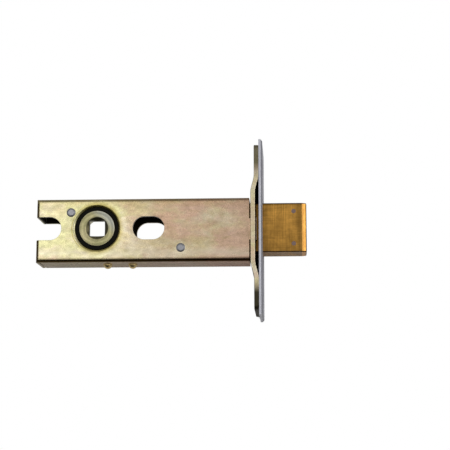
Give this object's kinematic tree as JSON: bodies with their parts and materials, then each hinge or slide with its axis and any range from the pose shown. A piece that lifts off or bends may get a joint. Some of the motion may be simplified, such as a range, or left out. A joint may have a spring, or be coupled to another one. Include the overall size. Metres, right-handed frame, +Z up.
{
  "type": "tubular bathroom deadbolt",
  "caption": "Tubular mortice deadbolt: folded case, double forend and a rectangular brass bolt that a square-holed follower throws and draws by a quarter turn.",
  "frame": {"origin": "middle of the forend's two screw holes, on the back face of the inner forend's ends, which seats on the door edge", "axes": "+X out of the door edge, the way the bolt is thrown; +Y through the door, away from the side that the picture shows; +Z up, along the forend"},
  "size_m": [0.0929, 0.025, 0.06],
  "materials": {
    "passivated_shell": "yellow passivated zinc plate",
    "passivated_cover": "yellow passivated zinc plate",
    "passivated_forend": "yellow passivated zinc plate",
    "satin_steel": "satin stainless steel",
    "bolt_brass": "drawn brass",
    "pin_steel": "bright steel",
    "tail_steel": "bright steel",
    "follower_zinc": "passivated sintered steel",
    "black_nylon": "black nylon",
    "post_steel": "bright steel",
    "spring_steel": "blued spring steel",
    "rivet_brass": "brass"
  },
  "bodies": {
    "case": {"case_shell": "passivated_shell", "case_cover": "passivated_cover", "inner_forend": "passivated_forend", "outer_forend": "satin_steel", "near_bush": "black_nylon", "far_bush": "black_nylon", "front_post": "post_steel", "rear_post": "post_steel", "detent_spring": "spring_steel", "spring_rivets": "rivet_brass"},
    "bolt": {"bolt_head": "bolt_brass", "bolt_pins": "pin_steel", "bolt_tail": "tail_steel", "tail_rivets": "tail_steel", "drive_pin": "pin_steel"},
    "follower": {"follower": "follower_zinc"}
  },
  "joints": [
    {"name": "follower_turn", "type": "hinge", "parent": "case", "child": "follower", "pos_m": [-0.0541, 0, 0.0007], "axis": [0, 1, 0], "range_deg": [0, 90], "deforming": ["detent_spring"]},
    {"name": "bolt_slide", "type": "slide", "parent": "case", "child": "bolt", "axis": [1, 0, 0], "range_m": [-0.014, 0]}
  ],
  "couplings": [
    {"joint": "follower_turn", "follows": "bolt_slide", "rad_per_m": -112.2}
  ]
}
